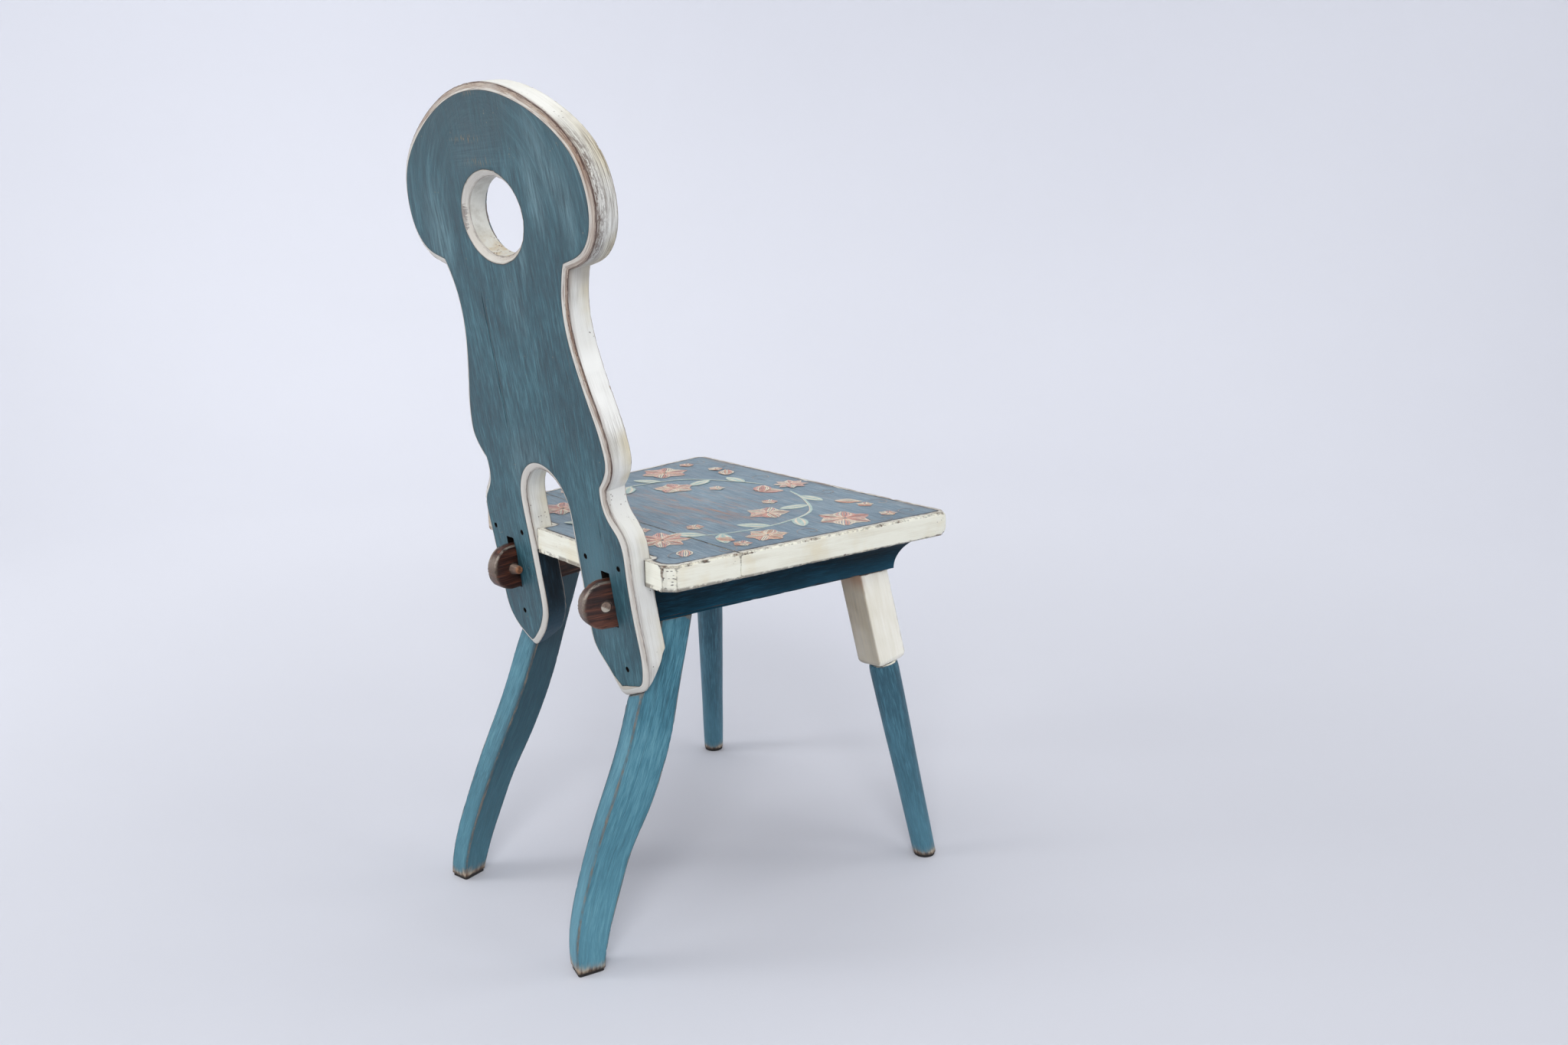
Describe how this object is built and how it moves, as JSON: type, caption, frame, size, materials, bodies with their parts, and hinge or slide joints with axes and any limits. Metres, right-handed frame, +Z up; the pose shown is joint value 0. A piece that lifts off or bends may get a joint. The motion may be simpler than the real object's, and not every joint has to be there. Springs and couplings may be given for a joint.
{
  "type": "painted plank chair",
  "caption": "Painted wooden plank chair with a cut-out solid back and hand hole, wedge seat on moulded battens, turned front legs, sabre rear legs and pegged through tongues.",
  "frame": {"origin": "middle of the chair's bounding box at floor level", "axes": "+Z up, the chair faces -Y, +X is the sitter's left"},
  "size_m": [0.4774, 0.4874, 0.93],
  "materials": {
    "back_paint": "satin blue paint with cream borders, worn",
    "seat_paint": "satin slate-blue paint, cream edges, painted wreath",
    "batten_paint": "satin dark blue paint, bare walnut-brown tongues",
    "leg_paint": "satin blue paint, worn arrises",
    "peg_wood": "bare turned wood",
    "hidden_wood": "bare wood",
    "nail_iron": "dark oxidised iron",
    "foot_pad": "matt dark"
  },
  "bodies": {
    "chair": {"back_board": "back_paint", "seat_front_board": "seat_paint", "seat_rear_board": "seat_paint", "left_batten": "batten_paint", "right_batten": "batten_paint", "front_left_leg": "leg_paint", "front_right_leg": "leg_paint", "rear_left_leg": "leg_paint", "rear_right_leg": "leg_paint", "leg_tenon_wedges": "hidden_wood", "seat_nails": "nail_iron", "leg_nails": "nail_iron", "front_left_foot_pad": "foot_pad", "front_right_foot_pad": "foot_pad", "rear_left_foot_pad": "foot_pad", "rear_right_foot_pad": "foot_pad"},
    "left_peg": {"left_tongue_peg": "peg_wood"},
    "right_peg": {"right_tongue_peg": "peg_wood"}
  },
  "joints": [
    {"name": "left_peg_slide", "type": "slide", "parent": "chair", "child": "left_peg", "axis": [0.988, 0.1547, 0], "range_m": [0, 0.022]},
    {"name": "right_peg_slide", "type": "slide", "parent": "chair", "child": "right_peg", "axis": [-0.988, 0.1547, 0], "range_m": [0, 0.022]}
  ]
}
